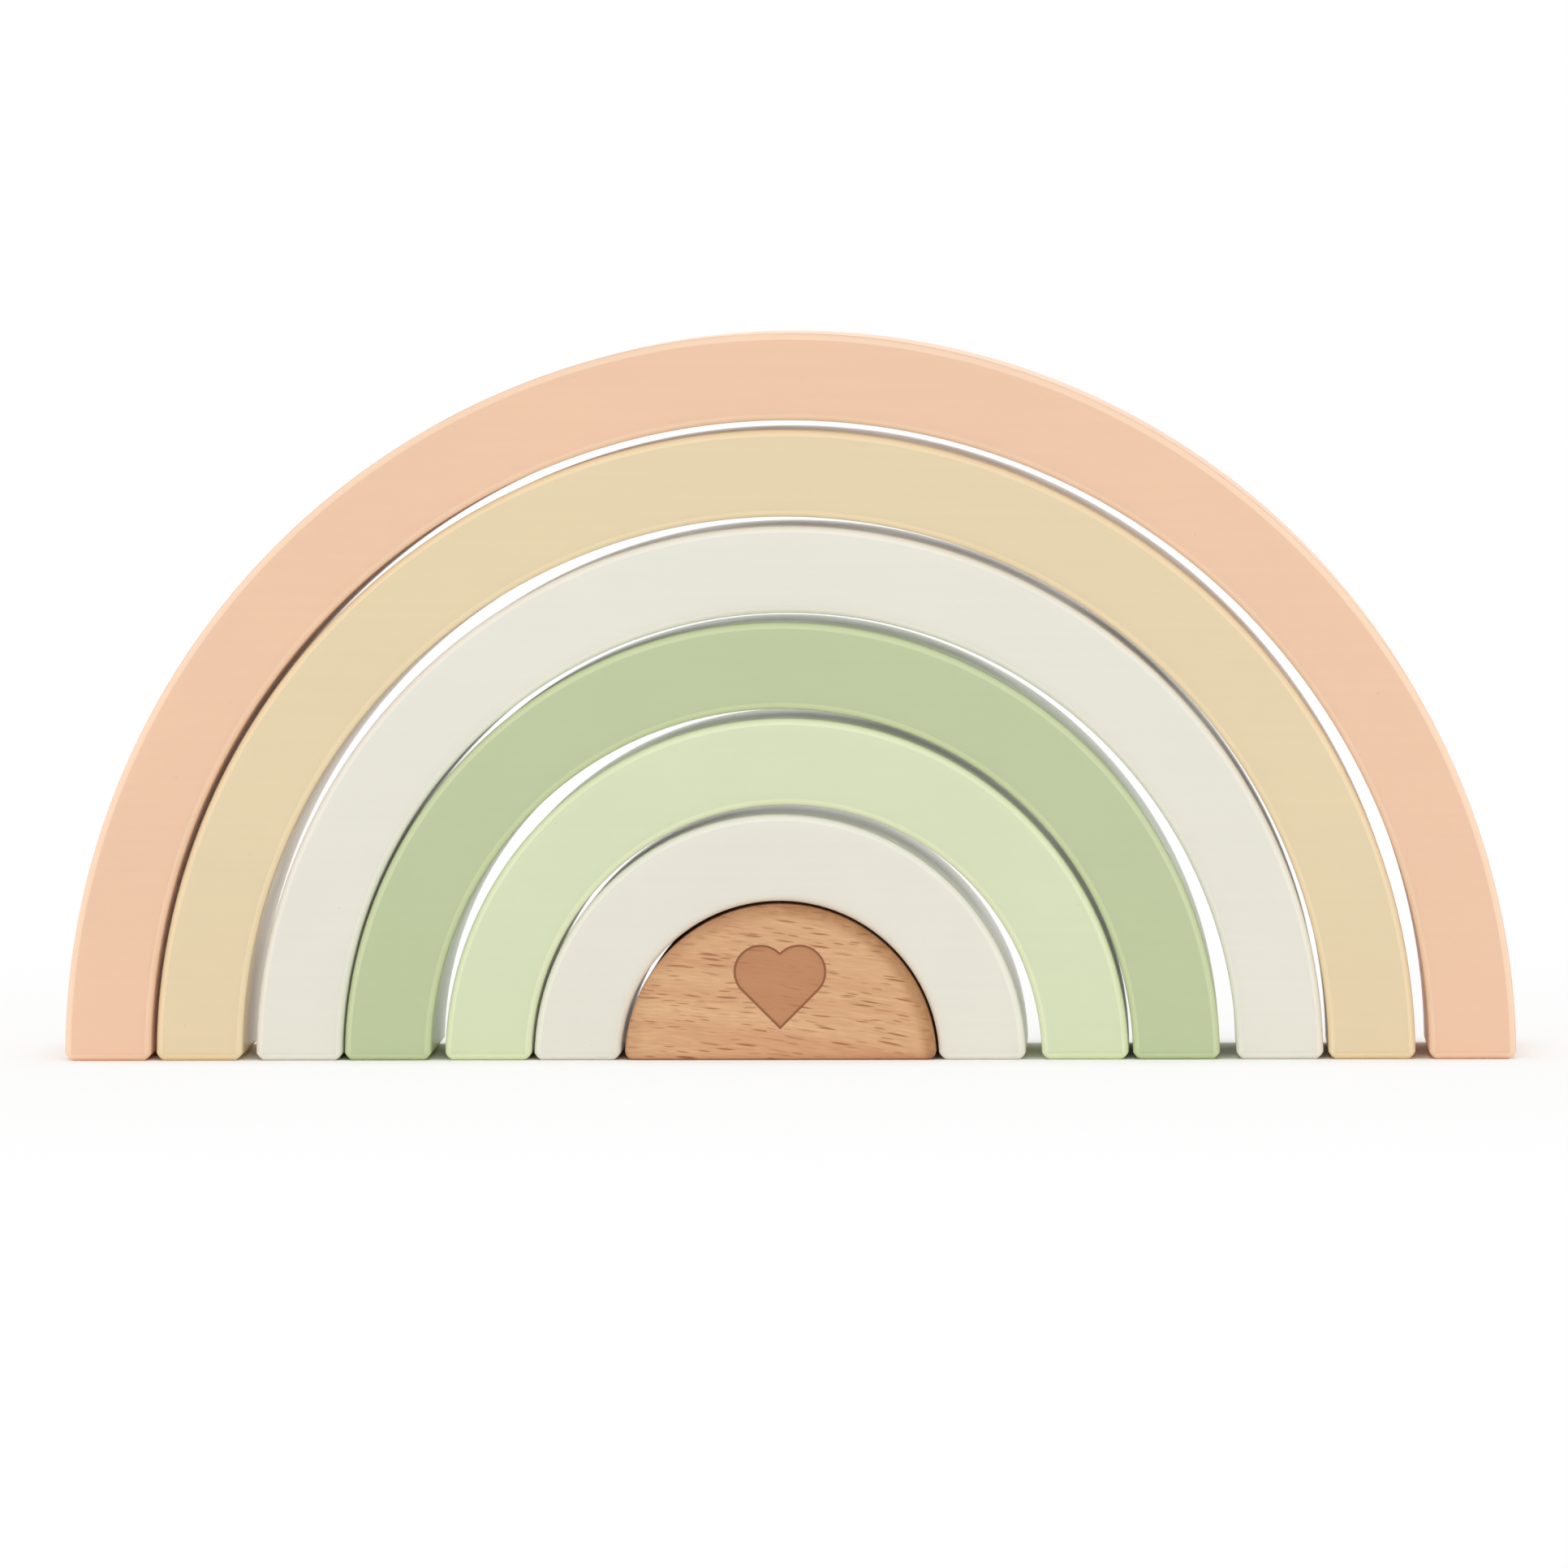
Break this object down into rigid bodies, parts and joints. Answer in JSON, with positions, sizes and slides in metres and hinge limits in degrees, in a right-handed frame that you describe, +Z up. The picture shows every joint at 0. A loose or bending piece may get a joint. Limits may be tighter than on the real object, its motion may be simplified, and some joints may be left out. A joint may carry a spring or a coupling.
{
  "type": "rainbow stacker",
  "caption": "Wooden rainbow stacker: pastel painted half-ring arches nest over a half-round block of natural beech, and each arch lifts off the one inside it.",
  "frame": {"origin": "on the floor under the middle of the largest arch, halfway through its depth", "axes": "+X across the rainbow to the viewer's right, +Y from the front face to the back face, +Z up"},
  "size_m": [0.2814, 0.04, 0.1407],
  "materials": {
    "natural_beech": "matte",
    "white_paint": "satin",
    "light_green_paint": "satin",
    "sage_green_paint": "satin",
    "sand_paint": "satin",
    "peach_paint": "satin"
  },
  "bodies": {
    "core": {"core_block": "natural_beech"},
    "inner_white": {"inner_white_arch": "white_paint"},
    "light_green": {"light_green_arch": "light_green_paint"},
    "sage_green": {"sage_green_arch": "sage_green_paint"},
    "outer_white": {"outer_white_arch": "white_paint"},
    "sand": {"sand_arch": "sand_paint"},
    "peach": {"peach_arch": "peach_paint"}
  },
  "joints": [
    {"name": "inner_white_lift", "type": "slide", "parent": "core", "child": "inner_white", "axis": [0, 0, 1], "range_m": [0, 0.04]},
    {"name": "light_green_lift", "type": "slide", "parent": "inner_white", "child": "light_green", "axis": [0, 0, 1], "range_m": [0, 0.058]},
    {"name": "sage_green_lift", "type": "slide", "parent": "light_green", "child": "sage_green", "axis": [0, 0, 1], "range_m": [0, 0.076]},
    {"name": "outer_white_lift", "type": "slide", "parent": "sage_green", "child": "outer_white", "axis": [0, 0, 1], "range_m": [0, 0.095]},
    {"name": "sand_lift", "type": "slide", "parent": "outer_white", "child": "sand", "axis": [0, 0, 1], "range_m": [0, 0.113]},
    {"name": "peach_lift", "type": "slide", "parent": "sand", "child": "peach", "axis": [0, 0, 1], "range_m": [0, 0.132]}
  ]
}
